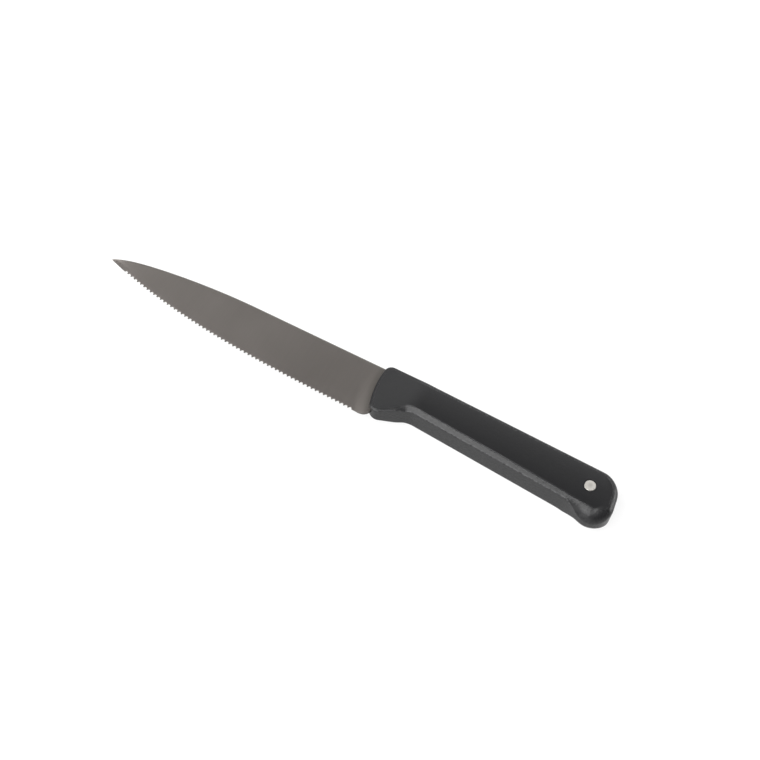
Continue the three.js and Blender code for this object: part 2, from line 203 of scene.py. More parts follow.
def apply_modifier(piece: bpy.types.Object, kind: str, **settings: Any) -> None:
    """Adds a modifier to a piece and applies it.

    Args:
        piece: The object.
        kind: The modifier's type.
        **settings: The modifier's settings.
    """
    bpy.context.view_layer.objects.active = piece
    modifier = piece.modifiers.new(kind.title(), kind)
    for key, value in settings.items():
        setattr(modifier, key, value)
    bpy.ops.object.modifier_apply(modifier=modifier.name)


def mirror_below(piece: bpy.types.Object) -> None:
    """Adds a piece's lower half to its upper one."""
    apply_modifier(piece, "MIRROR", use_axis=(False, False, True), use_mirror_merge=True,
                   merge_threshold=MIRROR_MERGE)


def cut_away(piece: bpy.types.Object, cutters: Sequence[bpy.types.Object]) -> None:
    """Cuts the space of each cutter out of a piece, and removes the cutters."""
    for cutter in cutters:
        apply_modifier(piece, "BOOLEAN", operation="DIFFERENCE", solver="EXACT", object=cutter)
        bpy.data.objects.remove(cutter)


def block_cutter(low: Vector, high: Vector) -> bpy.types.Object:
    """Returns a block between two corners, to cut with."""
    bpy.ops.mesh.primitive_cube_add(size=1, location=(low + high) / 2, scale=high - low)
    bpy.ops.object.transform_apply()
    return name_new("block_cutter")


def round_cutter(centre: Vector, radius: float, depth: float, points: int = 64) -> bpy.types.Object:
    """Returns an upright cylinder about a centre, to cut with."""
    bpy.ops.mesh.primitive_cylinder_add(vertices=points, radius=radius, depth=depth, location=centre)
    bpy.ops.object.transform_apply()
    return name_new("round_cutter")


def mark_points(piece: bpy.types.Object, name: str,
                value: Callable[[bmesh.types.BMVert], float]) -> None:
    """Stores a value with each point of a modelled piece.

    Args:
        piece: The object.
        name: Name of the attribute that holds the values.
        value: Gives a point's value.
    """
    mesh = bmesh.new()
    mesh.from_mesh(piece.data)
    layer = mesh.verts.layers.float.new(name)
    for vert in mesh.verts:
        vert[layer] = value(vert)
    mesh.to_mesh(piece.data)
    mesh.free()


def convex_bend(vert: bmesh.types.BMVert) -> float:
    """Returns how sharply the surface bends outward at a point: 1 over the bend's radius."""
    edges = [edge for edge in vert.link_edges if edge.is_contiguous]
    turn = sum(edge.calc_length() * edge.calc_face_angle_signed() for edge in edges)
    area = sum(face.calc_area() for face in vert.link_faces) / 3
    return turn / (2 * area + TINY)


def add_node(tree: bpy.types.NodeTree, kind: str, inputs: dict | None = None, **settings: Any) -> Any:
    """Adds one shader node.

    Args:
        tree: The material's or world's node tree.
        kind: The node's type.
        inputs: Values for its sockets, or other nodes' sockets that link to them.
        **settings: The node's own settings.

    Returns:
        The node.
    """
    node = tree.nodes.new(kind)
    for key, value in settings.items():
        setattr(node, key, value)
    for key, value in (inputs or {}).items():
        if isinstance(value, bpy.types.NodeSocket):
            tree.links.new(value, node.inputs[key])
        else:
            node.inputs[key].default_value = value
    return node


def linear(code: str) -> tuple[float, float, float, float]:
    """Returns the linear colour of an sRGB hex code."""
    parts = [int(code[i : i + 2], 16) / 255 for i in (1, 3, 5)]
    return (*(p / 12.92 if p <= 0.04045 else ((p + 0.055) / 1.055) ** 2.4 for p in parts), 1.0)


def per(size: float) -> float:
    """Returns the pattern scale whose features are this many millimetres across."""
    return 1 / (size * MM)


def new_tree(name: str) -> tuple[bpy.types.Material, bpy.types.NodeTree]:
    """Returns a material with an empty node tree."""
    material = bpy.data.materials.new(name)
    material.use_nodes = True
    material.node_tree.nodes.clear()
    return material, material.node_tree


def map_range(tree: bpy.types.NodeTree, value: bpy.types.NodeSocket, source: tuple[float, float],
              target: tuple[float, float] = (0.0, 1.0), **settings: Any) -> bpy.types.NodeSocket:
    """Maps one range of values to another.

    Args:
        tree: The material's or world's node tree.
        value: The socket to map.
        source: The values that become the target's ends.
        target: What they become.
        **settings: The node's own settings.

    Returns:
        The socket of the mapped value.
    """
    node = add_node(tree, "ShaderNodeMapRange", {
        "Value": value, "From Min": source[0], "From Max": source[1],
        "To Min": target[0], "To Max": target[1]}, **settings)
    return node.outputs["Result"]


def mix_colours(tree: bpy.types.NodeTree, share: bpy.types.NodeSocket,
                first: str | bpy.types.NodeSocket, second: str) -> bpy.types.NodeSocket:
    """Mixes two colours.

    Args:
        tree: The material's or world's node tree.
        share: The socket that gives the second colour's share.
        first: A hex code, or the socket of an earlier mix.
        second: A hex code.

    Returns:
        The socket of the mixed colour.
    """
    start = linear(first) if isinstance(first, str) else first
    node = add_node(tree, "ShaderNodeMix", {"Factor": share, "A": start, "B": linear(second)},
                    data_type="RGBA")
    return node.outputs["Result"]


def add_surface(tree: bpy.types.NodeTree, inputs: dict) -> None:
    """Ends a material's tree with a surface that has these socket values."""
    surface = add_node(tree, "ShaderNodeBsdfPrincipled", inputs)
    add_node(tree, "ShaderNodeOutputMaterial", {"Surface": surface.outputs["BSDF"]})


# Finishes


@dataclass(frozen=True)
class CoatedSteel:
    """Stainless steel, belt-ground and hard-coated by vapour: a dark warm grey metal with a silky sheen.

    The grinding shows as fine streaks from the back edge to the cutting edge, under the coating.
    """

    name: str = "vapour_coated_stainless_steel"
    deep: str = "#5B5754"
    pale: str = "#635F5C"
    # paler colour of convex edges: wear, and a painted highlight where the edges catch the light
    rubbed_and_highlight: str = "#7C7973"
    handle_shade_colour: str = "#464440"  # painted shade: the steel is darker along the handle, where the handle shades it
    streak_width: float = 0.5  # real grit lines are ten times finer, too fine to show
    streak_length: float = 14.0
    cloud: float = 18.0
    cloud_share: float = 0.45
    roughness: tuple[float, float] = (0.36, 0.44)
    gloss_range: tuple[float, float] = (0.3, 0.7)  # pattern values with the two roughnesses
    metallic: float = 0.92
    relief: float = 0.0015

    def material(self) -> bpy.types.Material:
        """Returns the finish as a material."""
        material, tree = new_tree(self.name)
        place = add_node(tree, "ShaderNodeTexCoord").outputs["Object"]
        stretch = (per(self.streak_width), per(self.streak_length), per(self.streak_length))
        along = add_node(tree, "ShaderNodeMapping", {"Vector": place, "Scale": stretch})
        streaks = add_node(tree, "ShaderNodeTexNoise", {
            "Vector": along.outputs["Vector"], "Scale": 1.0, "Detail": 3.0, "Roughness": 0.6})
        clouds = add_node(tree, "ShaderNodeTexNoise", {
            "Vector": place, "Scale": per(self.cloud), "Detail": 2.0})
        both = add_node(tree, "ShaderNodeMix", {
            "Factor": self.cloud_share, "A": streaks.outputs["Fac"], "B": clouds.outputs["Fac"]})
        # paler along convex edges: wear and a painted edge highlight
        worn_and_highlit = add_node(tree, "ShaderNodeAttribute", attribute_name=WEAR_AND_HIGHLIGHT)
        wear_and_highlight = add_node(tree, "ShaderNodeMath", {0: worn_and_highlit.outputs["Fac"], 1: clouds.outputs["Fac"]},
                        operation="MULTIPLY")
        handle_shade = add_node(tree, "ShaderNodeAttribute", attribute_name=HANDLE_SHADE)
        colour = mix_colours(tree, both.outputs["Result"], self.deep, self.pale)
        colour = mix_colours(tree, wear_and_highlight.outputs["Value"], colour, self.rubbed_and_highlight)
        # painted shade on the steel next to the handle
        colour = mix_colours(tree, handle_shade.outputs["Fac"], colour, self.handle_shade_colour)
        gloss = map_range(tree, both.outputs["Result"], self.gloss_range, self.roughness)
        bump = add_node(tree, "ShaderNodeBump", {
            "Height": streaks.outputs["Fac"], "Strength": 0.3, "Distance": self.relief * MM})
        add_surface(tree, {"Base Color": colour, "Metallic": self.metallic, "Roughness": gloss,
                           "Normal": bump.outputs["Normal"]})
        return material


@dataclass(frozen=True)
class MouldedGrain:
    """A black polymer moulded in a textured tool: dark, with a broad dull sheen broken up by its grain."""

    name: str
    deep: str
    pale: str
    # paler colour of convex edges: wear, and a painted highlight where the edges catch the light
    rubbed_and_highlight: str
    grain: float  # width of a grain; finer ones are left out because they would not show
    pebble: float  # width of the larger, softer unevenness
    roughness: tuple[float, float]
    relief: float  # height of the grain, in millimetres
    pebble_share: float
    specular: float
    rub_and_highlight_range: tuple[float, float] = (0.34, 0.6)  # grain heights with the least and most edge wear and painted edge highlight
    gloss_range: tuple[float, float] = (0.25, 0.75)  # grain heights that are dullest and glossiest

    def material(self) -> bpy.types.Material:
        """Returns the finish as a material."""
        material, tree = new_tree(self.name)
        place = add_node(tree, "ShaderNodeTexCoord").outputs["Object"]
        grain = add_node(tree, "ShaderNodeTexNoise", {
            "Vector": place, "Scale": per(self.grain), "Detail": 2.0, "Roughness": 0.55})
        pebbles = add_node(tree, "ShaderNodeTexVoronoi", {
            "Vector": place, "Scale": per(self.pebble), "Smoothness": 0.7}, feature="SMOOTH_F1")
        both = add_node(tree, "ShaderNodeMix", {
            "Factor": self.pebble_share, "A": grain.outputs["Fac"], "B": pebbles.outputs["Distance"]})
        # paler along convex edges: wear and a painted edge highlight
        worn_and_highlit = add_node(tree, "ShaderNodeAttribute", attribute_name=WEAR_AND_HIGHLIGHT)
        patches = map_range(tree, both.outputs["Result"], self.rub_and_highlight_range)
        wear_and_highlight = add_node(tree, "ShaderNodeMath", {0: worn_and_highlit.outputs["Fac"], 1: patches},
                        operation="MULTIPLY")
        colour = mix_colours(tree, both.outputs["Result"], self.deep, self.pale)
        colour = mix_colours(tree, wear_and_highlight.outputs["Value"], colour, self.rubbed_and_highlight)
        gloss = map_range(tree, both.outputs["Result"], self.gloss_range, self.roughness[::-1])
        bump = add_node(tree, "ShaderNodeBump", {
            "Height": both.outputs["Result"], "Strength": 1.0, "Distance": self.relief * MM})
        add_surface(tree, {"Base Color": colour, "Roughness": gloss,
                           "Specular IOR Level": self.specular, "Normal": bump.outputs["Normal"]})
        return material


@dataclass(frozen=True)
class TurnedSteel:
    """Bare stainless steel, faced on a lathe: pale and silky, with faint rings about its axis."""

    name: str = "turned_stainless_steel"
    deep: str = "#C0BDB7"
    pale: str = "#C8C5BF"
    ring: float = 3.1416  # from ring to ring; real tool marks are far finer, too fine to show
    roughness: tuple[float, float] = (0.3, 0.42)
    relief: float = 0.004

    def material(self, axis: Vector) -> bpy.types.Material:
        """Returns the finish as a material.

        Args:
            axis: A point on the turning axis, in metres.
        """
        material, tree = new_tree(self.name)
        place = add_node(tree, "ShaderNodeTexCoord").outputs["Object"]
        centred = add_node(tree, "ShaderNodeMapping", {"Vector": place, "Location": -axis})
        rings = add_node(tree, "ShaderNodeTexWave", {
            "Vector": centred.outputs["Vector"], "Scale": per(self.ring) * math.tau / WAVE_TURN,
            "Distortion": 0.4, "Detail": 1.0}, wave_type="RINGS", rings_direction="Z")
        colour = mix_colours(tree, rings.outputs["Fac"], self.deep, self.pale)
        gloss = map_range(tree, rings.outputs["Fac"], (0.0, 1.0), self.roughness)
        bump = add_node(tree, "ShaderNodeBump", {
            "Height": rings.outputs["Fac"], "Strength": 0.5, "Distance": self.relief * MM})
        add_surface(tree, {"Base Color": colour, "Metallic": 1.0, "Roughness": gloss,
                           "Normal": bump.outputs["Normal"]})
        return material


CORE_PLASTIC = MouldedGrain(
    name="spark_textured_polypropylene", deep="#131314", pale="#1A1A1B", rubbed_and_highlight="#262627",
    grain=0.55, pebble=1.6, roughness=(0.28, 0.38), relief=0.04, pebble_share=0.3, specular=0.24)
# the rim's pale edge colour paints highlights along its bevel edges as well as wear
RIM_ELASTOMER = MouldedGrain(
    name="leather_grained_elastomer", deep="#101011", pale="#171718", rubbed_and_highlight="#585859",
    grain=0.6, pebble=0.9, roughness=(0.29, 0.43), relief=0.09, pebble_share=0.4, specular=0.28)


# The handle's shape


@dataclass(frozen=True)
class Corner:
    """A corner of an outline, rounded by a radius."""

    x: float
    y: float
    radius: float = 0.0

    @property
    def at(self) -> Vector:
        """The sharp corner."""
        return Vector((self.x, self.y))


@dataclass(frozen=True)
class EdgeForm:
    """How a side face turns into the outer wall: an arc between two slopes, stretched to its size."""

    width: float
    drop: float
    start: float = 0.0  # slope where the arc leaves the face, in degrees
    end: float = 90.0  # slope where it meets the wall

    def blend(self, other: "EdgeForm", share: float) -> "EdgeForm":
        """Returns the form at a share of the way to another one."""
        return EdgeForm(
            lerp(self.width, other.width, share), lerp(self.drop, other.drop, share),
            lerp(self.start, other.start, share), lerp(self.end, other.end, share))

    def point(self, share: float) -> tuple[float, float]:
        """Returns the arc's inset and drop at a share of its way from the face (0) to the wall (1)."""
        start, end = math.radians(self.start), math.radians(self.end)
        turn = lerp(start, end, share)
        across = (math.sin(turn) - math.sin(start)) / (math.sin(end) - math.sin(start))
        down = (math.cos(start) - math.cos(turn)) / (math.cos(start) - math.cos(end))
        return self.width * (1 - across), self.drop * down


@dataclass(frozen=True)
class Station:
    """A point of the handle's outline and the shape of its edge there."""

    at: Vector
    outward: Vector
    form: EdgeForm
    groove: float  # 0 where core and rim meet in a hairline, 1 where their groove is open
    sink: float  # how far the side face's border lies below its crown


def rounded_outline(corners: Sequence[Corner], steps: int) -> list[Vector]:
    """Draws a closed outline with arcs at its corners.

    Args:
        corners: The corners, in order. Neighbouring arcs that need more than the straight between
            their corners are both made smaller.
        steps: Points of each arc.

    Returns:
        The outline's points.
    """
    turns = []
    for i, corner in enumerate(corners):
        before = (corners[i - 1].at - corner.at).normalized()
        after = (corners[(i + 1) % len(corners)].at - corner.at).normalized()
        half_angle = math.acos(clamp(before.dot(after), -1, 1)) / 2
        turns.append((corner.at, before, after, half_angle, corner.radius / math.tan(half_angle)))
    shares = []
    for i, turn in enumerate(turns):
        after = turns[(i + 1) % len(turns)]
        shares.append(min(1.0, (turn[0] - after[0]).length / max(turn[4] + after[4], TINY)))
    points = []
    for i, (at, before, after, half_angle, reach) in enumerate(turns):
        cut = reach * min(shares[i - 1], shares[i])
        if cut == 0:
            points.append(at)
            continue
        centre = at + (before + after).normalized() * cut / math.cos(half_angle)
        start = at + before * cut - centre
        sweep = start.angle_signed(at + after * cut - centre)
        points += [centre + Matrix.Rotation(-sweep * k / steps, 2) @ start for k in range(steps + 1)]
    return points


@dataclass
class HandleShape:
    """The outside of the handle, in millimetres: its side view, its thickness and its edges."""

    thickness: float
    length: float = 110.04
    front_rise: float = 1.7
    front_radius: float = 42.0
    front_nose: float = 5.0
    front_depth: float = 22.8
    front_top_radius: float = 3.0
    guard_radius: float = 4.0
    finger_x: float = 18.4
    finger_depth: float = 15.0
    finger_radius: float = 10.0
    guard_end: float = 12.8  # the guard's narrow bevel starts to widen here
    belly_start: float = 17.6  # and has the belly's width from here
    belly_turn: float = 8.8
    belly_end_depth: float = 18.6
    belly_end_radius: float = 22.0
    beak_length: float = 10.77
    beak_depth: float = 22.1
    beak_radius: float = 8.0
    spine_fall: float = 0.3
    butt_lean: float = 3.02
    butt_radius: float = 9.0  # upper corner
    butt_bottom_radius: float = 8.0
    taper_start: float = 18.2
    taper_slope: float = 0.243
    taper_bend: float = 3.0
    front_edge: EdgeForm = EdgeForm(1.2, 1.2)
    spine_edge: EdgeForm = EdgeForm(1.5, 1.5)
    guard_edge: EdgeForm = EdgeForm(1.3, 0.6, 43, 47)
    belly_edge: EdgeForm = EdgeForm(2.15, 1.6, 43, 47)
    belly_end_edge: EdgeForm = EdgeForm(1.85, 1.25, 43, 47)
    beak_edge: EdgeForm = EdgeForm(4.85, 5.6, 32, 90)
    butt_edge: EdgeForm = EdgeForm(2.7, 3.0, 18, 90)
    butt_blend: float = 10.0
    crown: float = 0.3  # how far the side faces bulge across their height
    crown_fade: float = 0.06
    roll: float = 0.05  # further fall of the face towards the belly
    roll_share: float = 0.14
    seam: float = 0.1  # groove between the core and the rim, along belly and guard
    hairline: float = 0.03  # the same joint everywhere else
    hairline_lip: float = 0.2  # share of a lip's rounding that is left along the hairline
    groove_lean: tuple[float, float] = (0.3, 0.8)  # downward lean where the groove starts and is open
    front_lean: tuple[float, float] = (0.2, 0.9)  # forward lean where the front's edge starts and is full
    rivet_inset: float = 13.84
    rivet_y: float = -9.0
    arc_steps: int = 24
    front_steps: int = 24
    front_margin: float = 4.1  # straight ends of the front, which its rounded corners need
    samples: int = 2400
    lean_reach: int = 2  # samples to both sides that an outline's direction is taken over
    side_starts: tuple[int, ...] = (-1, 3, 4, 6)  # corners where belly, butt, spine and front start
    outline: list[Vector] = field(init=False)
    sides: tuple = field(init=False)

    def __post_init__(self) -> None:
        """Draws the outline and finds its four sides: belly, butt, spine and front."""
        corners = self.corners()
        self.outline = even_points(rounded_outline(corners, self.arc_steps), self.samples)
        guard, bottom, top, front = (self.share_near(corners[i]) for i in self.side_starts)
        self.sides = (guard - 1, bottom), (bottom, top), (top, front), (front, guard)

    @property
    def half(self) -> float:
        """Half the handle's full thickness."""
        return self.thickness / 2

    @property
    def beak_x(self) -> float:
        """Where the beak's corner is."""
        return self.length - self.beak_length

    @property
    def rivet_x(self) -> float:
        """Where the rivet's axis is."""
        return self.length - self.rivet_inset

    @property
    def butt_top(self) -> Corner:
        """The butt's upper corner."""
        return Corner(self.length - self.butt_lean, -self.spine_fall, self.butt_radius)

    @property
    def middle_y(self) -> float:
        """A height that parts the back edge from the belly."""
        return (self.front_rise - self.front_depth) / 2

    def front_x(self, y: float) -> float:
        """Returns where the handle's bulging front edge is at a height; 0 level with the spine."""
        return ((y + self.front_nose) ** 2 - self.front_nose**2) / (2 * self.front_radius)

    def corners(self) -> list[Corner]:
        """Returns the outline's corners, anticlockwise from the one between guard and belly."""
        ends = self.front_rise - self.front_margin, self.front_margin - self.front_depth
        heights = [lerp(*ends, i / self.front_steps) for i in range(self.front_steps + 1)]
        return [
            Corner(self.finger_x, -self.finger_depth, self.finger_radius),
            Corner(self.beak_x - self.belly_turn, -self.belly_end_depth, self.belly_end_radius),
            Corner(self.beak_x, -self.beak_depth, self.beak_radius),
            Corner(self.length, -self.beak_depth, self.butt_bottom_radius),
            self.butt_top,
            Corner(self.taper_start, 0, self.length),
            Corner(self.front_x(self.front_rise), self.front_rise, self.front_top_radius),
            *(Corner(self.front_x(y), y) for y in heights),
            Corner(self.front_x(-self.front_depth), -self.front_depth, self.guard_radius),
        ]

    def half_thickness(self, x: float) -> float:
        """Returns half the thickness at a place: level, then a soft bend into the thinning front."""
        past = clamp(x - self.taper_start, -self.taper_bend, self.taper_bend)
        bend = (self.taper_bend - past) ** 2 / (4 * self.taper_bend)
        straight = max(0.0, self.taper_start - self.taper_bend - x)
        return self.half - self.taper_slope * (bend + straight)

    def butt_share(self, at: Vector) -> float:
        """Returns how far the edge has turned from a bevel into the butt's rounding, 0 to 1."""
        on_spine = at.y > self.middle_y
        end = self.butt_top.x - self.butt_radius + self.butt_blend if on_spine else self.beak_x
        return smoothstep(at.x, end - self.butt_blend, end)

    def station(self, share: float) -> Station:
        """Returns the outline's point at a share of the way round, and the shape of its edge."""
        place = share % 1.0 * self.samples
        i = int(place)
        count = self.samples
        at = self.outline[i % count].lerp(self.outline[(i + 1) % count], place - i)
        before, after = i - self.lean_reach, i + 1 + self.lean_reach
        along = (self.outline[after % count] - self.outline[before % count]).normalized()
        outward = Vector((along.y, -along.x))
        groove = smoothstep(-outward.y, *self.groove_lean)
        return Station(at, outward, self.edge_form(at, outward), groove, self.sink(share))

    def behind_guard(self, x: float) -> float:
        """Returns how far a place is past the guard, 0 on it and 1 behind the finger's corner."""
        return smoothstep(x, self.guard_end, self.belly_start)

    def edge_form(self, at: Vector, outward: Vector) -> EdgeForm:
        """Returns the form of the edge at a point of the outline."""
        guarded = self.behind_guard(at.x)
        along = clamp((at.x - self.finger_x) / (self.beak_x - self.belly_turn - self.finger_x))
        belly = self.guard_edge.blend(self.belly_edge.blend(self.belly_end_edge, along), guarded)
        side = self.spine_edge if at.y > self.middle_y else belly
        side = side.blend(self.front_edge, smoothstep(-outward.x, *self.front_lean))
        butt = self.butt_edge.blend(self.beak_edge, smoothstep(-outward.y, 0, 1))
        return side.blend(butt, self.butt_share(at))

    def face_fall(self, u: float, v: float) -> float:
        """Returns how far the side face lies below its crown.

        Args:
            u: Place along the face, from the front (0) to the butt (1).
            v: Place across it, from the belly (0) to the spine (1).
        """
        fade = smoothstep(u, 0, self.crown_fade) * smoothstep(1 - u, 0, self.crown_fade)
        rolled = max(0.0, 1 - v / self.roll_share)
        return fade * (self.crown * (2 * v - 1) ** 2 + self.roll * rolled**2)

    def sink(self, share: float) -> float:
        """Returns how far the border of the side face lies below its crown at a share of the outline."""
        belly, _, spine, _ = self.sides
        for v, (start, end) in ((0, belly), (0, tuple(s + 1 for s in belly)), (1, spine)):
            if start <= share <= end:
                place = (share - start) / (end - start)
                return self.face_fall(place, v)
        return 0.0

    def share_near(self, corner: Corner) -> float:
        """Returns how far round the outline is nearest to a corner, 0 to 1."""
        distances = [(point - corner.at).length for point in self.outline]
        return distances.index(min(distances)) / self.samples

    def edge_point(self, station: Station, share: float) -> Vector:
        """Returns a point on the upper edge, from the side face (share 0) to the outer wall (1)."""
        inset, drop = station.form.point(share)
        return self.inset_point(station, inset, drop + station.sink * (1 - share))

    def joint(self, station: Station) -> float:
        """Returns the width of the joint between core and rim."""
        return lerp(self.hairline, self.seam, station.groove)

    def lip_share(self, station: Station) -> float:
        """Returns how much of its full rounding a piece's lip has beside the joint."""
        return lerp(self.hairline_lip, 1, station.groove)

    def inset_point(self, station: Station, inset: float, drop: float) -> Vector:
        """Returns a point a distance inside the outline and a depth below the side face's crown."""
        at = station.at - station.outward * inset
        half = self.half_thickness(at.x)
        return Vector((at.x, at.y, half - drop * half / self.half))


def even_points(points: Sequence[Vector], count: int) -> list[Vector]:
    """Returns this many points at even distances round a closed outline."""
    closed = [*points, points[0]]
    lengths = [(b - a).length for a, b in zip(closed, closed[1:])]
    step = sum(lengths) / count
    result = []
    travelled = 0.0
    for a, b, length in zip(closed, closed[1:], lengths):
        while len(result) < count and len(result) * step < travelled + length:
            result.append(a.lerp(b, (len(result) * step - travelled) / length))
        travelled += length
    return result


@dataclass(frozen=True)
class Datum:
    """Where the knife lies in the frame, worked out from the CAD pieces."""

    origin: Vector  # the handle's front, level with its spine, at mid-thickness, in metres
    thickness: float
    blade_length: float

    @classmethod
    def from_frame(cls) -> "Datum":
        """Returns the datum, measured on the CAD pieces."""
        rim_low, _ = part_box("grip_rim")
        core_low, core_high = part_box("handle_core")
        blade_low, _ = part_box("blade")
        middle = (core_low.z + core_high.z) / 2
        nose = HandleShape.front_nose**2 / (2 * HandleShape.front_radius)
        edge = Blade.height - Blade.spine_y
        origin = Vector((rim_low.x + nose * MM, blade_low.y + edge * MM, middle))
        return cls(origin, (core_high.z - core_low.z) / MM, (origin.x - blade_low.x) / MM)

    def settle(self, piece: bpy.types.Object) -> None:
        """Moves a finished piece from the bench, in millimetres, to its place in the frame."""
        bpy.ops.object.select_all(action="DESELECT")
        piece.select_set(True)
        bpy.context.view_layer.objects.active = piece
        piece.scale = (MM, MM, MM)
        piece.location = self.origin
        bpy.ops.object.transform_apply(location=True, rotation=True, scale=True)


@dataclass
class Piece:
    """What every piece of the knife shares: where it lies, what it stands for and the handle it fits."""

    datum: Datum
    node: str
    slot: Slot
    shape: HandleShape
    wear_and_highlight_radius: float  # edges rounded by this radius or less get the most wear and painted highlight

    def wear_and_highlight_share(self, at: Vector) -> float:
        """Returns how much edge wear and painted edge highlight a place gets, 0 to 1."""
        return 1.0

    def wear_and_highlight(self, vert: bmesh.types.BMVert) -> float:
        """Returns a point's share of edge wear and painted edge highlight, from the surface's outward bend.
        """
        return clamp(convex_bend(vert) * self.wear_and_highlight_radius) * self.wear_and_highlight_share(vert.co)

    def finish(self, piece: bpy.types.Object, material: bpy.types.Material) -> bpy.types.Object:
        """Cleans a modelled piece, shades and dresses it, and stands it for its CAD node.

        Args:
            piece: The object, in millimetres.
            material: Its finish.

        Returns:
            The piece in its place in the frame.
        """
        with editing(piece):
            bpy.ops.mesh.select_all(action="SELECT")
            bpy.ops.mesh.remove_doubles(threshold=MERGE)
            bpy.ops.mesh.normals_make_consistent(inside=False)
        # edge wear and painted edge highlight
        mark_points(piece, WEAR_AND_HIGHLIGHT, self.wear_and_highlight)
        self.datum.settle(piece)
        bpy.ops.object.shade_smooth_by_angle(angle=SMOOTH_ANGLE)
        piece.data.materials.clear()
        piece.data.materials.append(material)
        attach(piece, BODY)
        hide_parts(self.node)
        log.info("%s: %d faces, %s", piece.name, len(piece.data.polygons), material.name)
        return piece


# Sub-assemblies


@dataclass
class GripRim(Piece):
    """The softer rim moulded round the core: bevels, wall and the butt's rounding."""

    wear_and_highlight_radius: float = 0.3
    lip: float = 0.05
    soft_edge: float = 0.3
    round_share: float = 0.2  # of soft_edge, where the edge's form already ends upright
    end_slopes: tuple[float, float] = (50, 90)  # last slopes of a flat form and of an upright one
    points: int = 720
    lip_steps: int = 3
    bevel_steps: int = 8
    edge_steps: int = 5
    wall_steps: int = 4
    guard_wear_and_highlight: float = 0.1  # the guard gets less edge wear and painted highlight than the belly

    def wear_and_highlight_share(self, at: Vector) -> float:
        """Returns how much edge wear and painted highlight a place gets: little at the guard, fully behind
        the finger.
        """
        return lerp(self.guard_wear_and_highlight, 1, self.shape.behind_guard(at.x))

    def section(self, station: Station) -> list[Vector]:
        """Returns the upper half of the rim's section, from its inner wall to its outer one."""
        slant = math.hypot(station.form.width, station.form.drop)
        joint = self.shape.joint(station) / 2 / slant
        reach = self.lip * self.shape.lip_share(station)
        upright = smoothstep(station.form.end, *self.end_slopes)
        blunt = self.soft_edge * lerp(1, self.round_share, upright)
        shares = joint + reach / slant, 1 - blunt / slant
        bevel = [
            self.shape.edge_point(station, lerp(*shares, i / self.bevel_steps))
            for i in range(self.bevel_steps + 1)
        ]
        top = self.shape.edge_point(station, joint)
        corner = self.shape.edge_point(station, 1)
        inner = Vector((top.x, top.y, 0))
        outer = Vector((corner.x, corner.y, 0))
        lip = soft_corner(inner, top, bevel[0], reach, self.lip_steps)
        edge = soft_corner(bevel[-1], corner, outer, blunt, self.edge_steps)
        wall = [edge[-1].lerp(outer, i / self.wall_steps) for i in range(1, self.wall_steps + 1)]
        return [inner, *lip[:-1], *bevel, *edge[1:], *wall]

    def build(self, cutters: Sequence[bpy.types.Object]) -> bpy.types.Object:
        """Extrudes the section's ring round the handle, mirrors it and cuts the blade's slot."""
        sections = [self.section(self.shape.station(i / self.points)) for i in range(self.points)]
        bpy.ops.mesh.primitive_circle_add(vertices=self.points, radius=self.shape.length / 2)
        rim = name_new("soft_grip_rim")
        with editing(rim):
            number_points(rim, lambda vert: vert.index)
            for step in range(len(sections[0])):
                if step:
                    bpy.ops.mesh.extrude_region_move()
                place_selected(rim, lambda number: sections[number][step])
        mirror_below(rim)
        cut_away(rim, cutters)
        return self.finish(rim, RIM_ELASTOMER.material())


@dataclass
class HandleCore(Piece):
    """The hard core that shows as the handle's two side faces."""

    wear_and_highlight_radius: float = 0.4
    lip: float = 0.02
    columns: int = 190
    rows: int = 40
    lip_steps: int = 4

    def border(self, share: float, turn: float) -> Vector:
        """Returns a point of the face's border, some of the way round its lip, 0 to a quarter turn."""
        station = self.shape.station(share)
        lip = self.lip * self.shape.lip_share(station)
        inset = station.form.width + self.shape.joint(station) / 2 + lip * (1 - math.sin(turn))
        return self.shape.inset_point(station, inset, station.sink + lip * (1 - math.cos(turn)))

    def border_share(self, u: float, v: float) -> float:
        """Returns the share of the outline at a point on the border of the grid."""
        belly, butt, spine, front = self.shape.sides
        nearest = min((v, 0), (1 - u, 1), (1 - v, 2), (u, 3))[1]
        return (lerp(*belly, u), lerp(*butt, v), lerp(*spine, 1 - u), lerp(*front, 1 - v))[nearest]

    def patch(self, u: float, v: float) -> Vector:
        """Returns a point of the upper face, stretched between its four borders."""
        belly, butt, spine, front = self.shape.sides
        low, high, left, right = (
            self.border(share, 0)
            for share in (lerp(*belly, u), lerp(*spine, 1 - u), lerp(*front, 1 - v), lerp(*butt, v)))
        ends = [self.border(side[0], 0) for side in self.shape.sides]
        corners = ends[0].lerp(ends[1], u).lerp(ends[3].lerp(ends[2], u), v)
        point = low.lerp(high, v) + left.lerp(right, u) - corners
        half = self.shape.half_thickness(point.x)
        return Vector((point.x, point.y, half - self.shape.face_fall(u, v) * half / self.shape.half))

    def build(self, cutters: Sequence[bpy.types.Object]) -> bpy.types.Object:
        """Lays a grid over the side face, turns its border down, mirrors it and cuts its holes."""
        bpy.ops.mesh.primitive_grid_add(x_subdivisions=self.columns, y_subdivisions=self.rows, size=1)
        core = name_new("hard_handle_core")
        across = self.columns + 1

        def spot(number: int) -> tuple[float, float]:
            """Returns the place on the grid, 0 to 1 both ways, of a numbered point."""
            return number % across / self.columns, number // across / self.rows

        with editing(core):
            number_grid(core, self.columns, self.rows)
            place_selected(core, lambda number: self.patch(*spot(number)))
            select_where(core, "EDGE", lambda edge, _: edge.is_boundary)
            for step in range(1, self.lip_steps + 2):
                bpy.ops.mesh.extrude_region_move()
                place_selected(core, lambda number: self.lip_point(self.border_share(*spot(number)), step))
        mirror_below(core)
        cut_away(core, cutters)
        return self.finish(core, CORE_PLASTIC.material())

    def lip_point(self, share: float, step: int) -> Vector:
        """Returns a point of the rounding from face to groove, or past it the groove's mid-depth."""
        point = self.border(share, min(step / self.lip_steps, 1) * math.pi / 2)
        return point if step <= self.lip_steps else Vector((point.x, point.y, 0))


